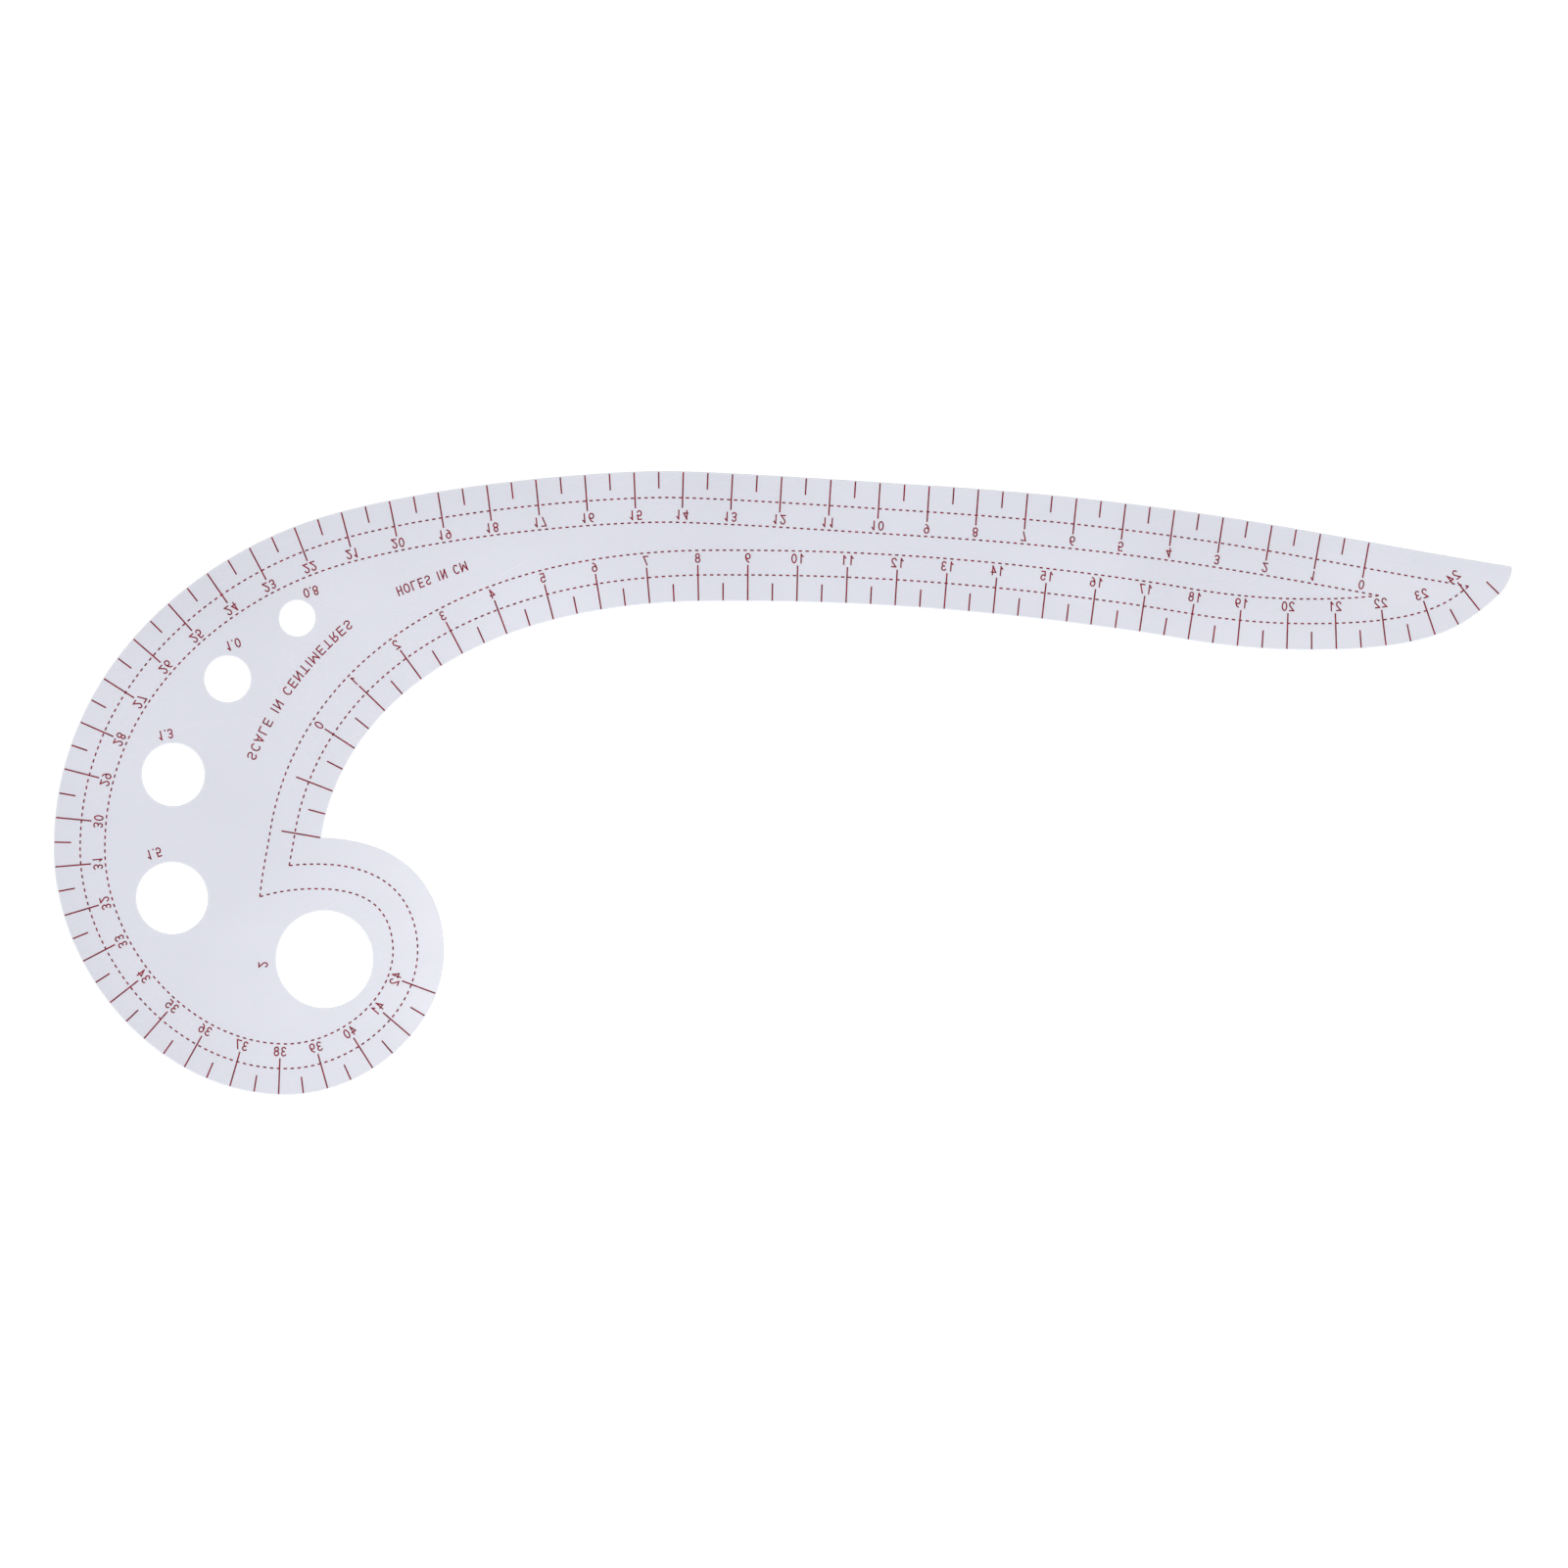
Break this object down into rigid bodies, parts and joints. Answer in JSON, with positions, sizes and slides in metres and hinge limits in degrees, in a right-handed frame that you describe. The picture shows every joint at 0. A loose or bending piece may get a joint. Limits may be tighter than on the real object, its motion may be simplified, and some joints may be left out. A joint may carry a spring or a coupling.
{
  "type": "french curve",
  "caption": "Flat translucent comma-shaped french curve with centimetre scales on both edges, dashed seam-allowance lines and round stencil holes.",
  "frame": {"origin": "middle of the sheet's bounding box, on the plain reading face (underside)", "axes": "+X along the arm from the head to the tip, +Y from the foot of the head to the crest of the arm, +Z out of the printed face"},
  "size_m": [0.2959, 0.1266, 0.0012],
  "materials": {
    "clear_sheet": "translucent calendered soft plastic sheet, faintly blue-grey",
    "print_ink": "thin screen-printed crimson ink film"
  },
  "bodies": {
    "root": {"curve_sheet": "clear_sheet", "outer_cm_marks": "print_ink", "outer_half_marks": "print_ink", "outer_numbers": "print_ink", "inner_cm_marks": "print_ink", "inner_half_marks": "print_ink", "inner_numbers": "print_ink", "near_seam_line": "print_ink", "far_seam_line": "print_ink", "hole_labels": "print_ink", "scale_legend": "print_ink", "hole_legend": "print_ink"}
  },
  "joints": []
}
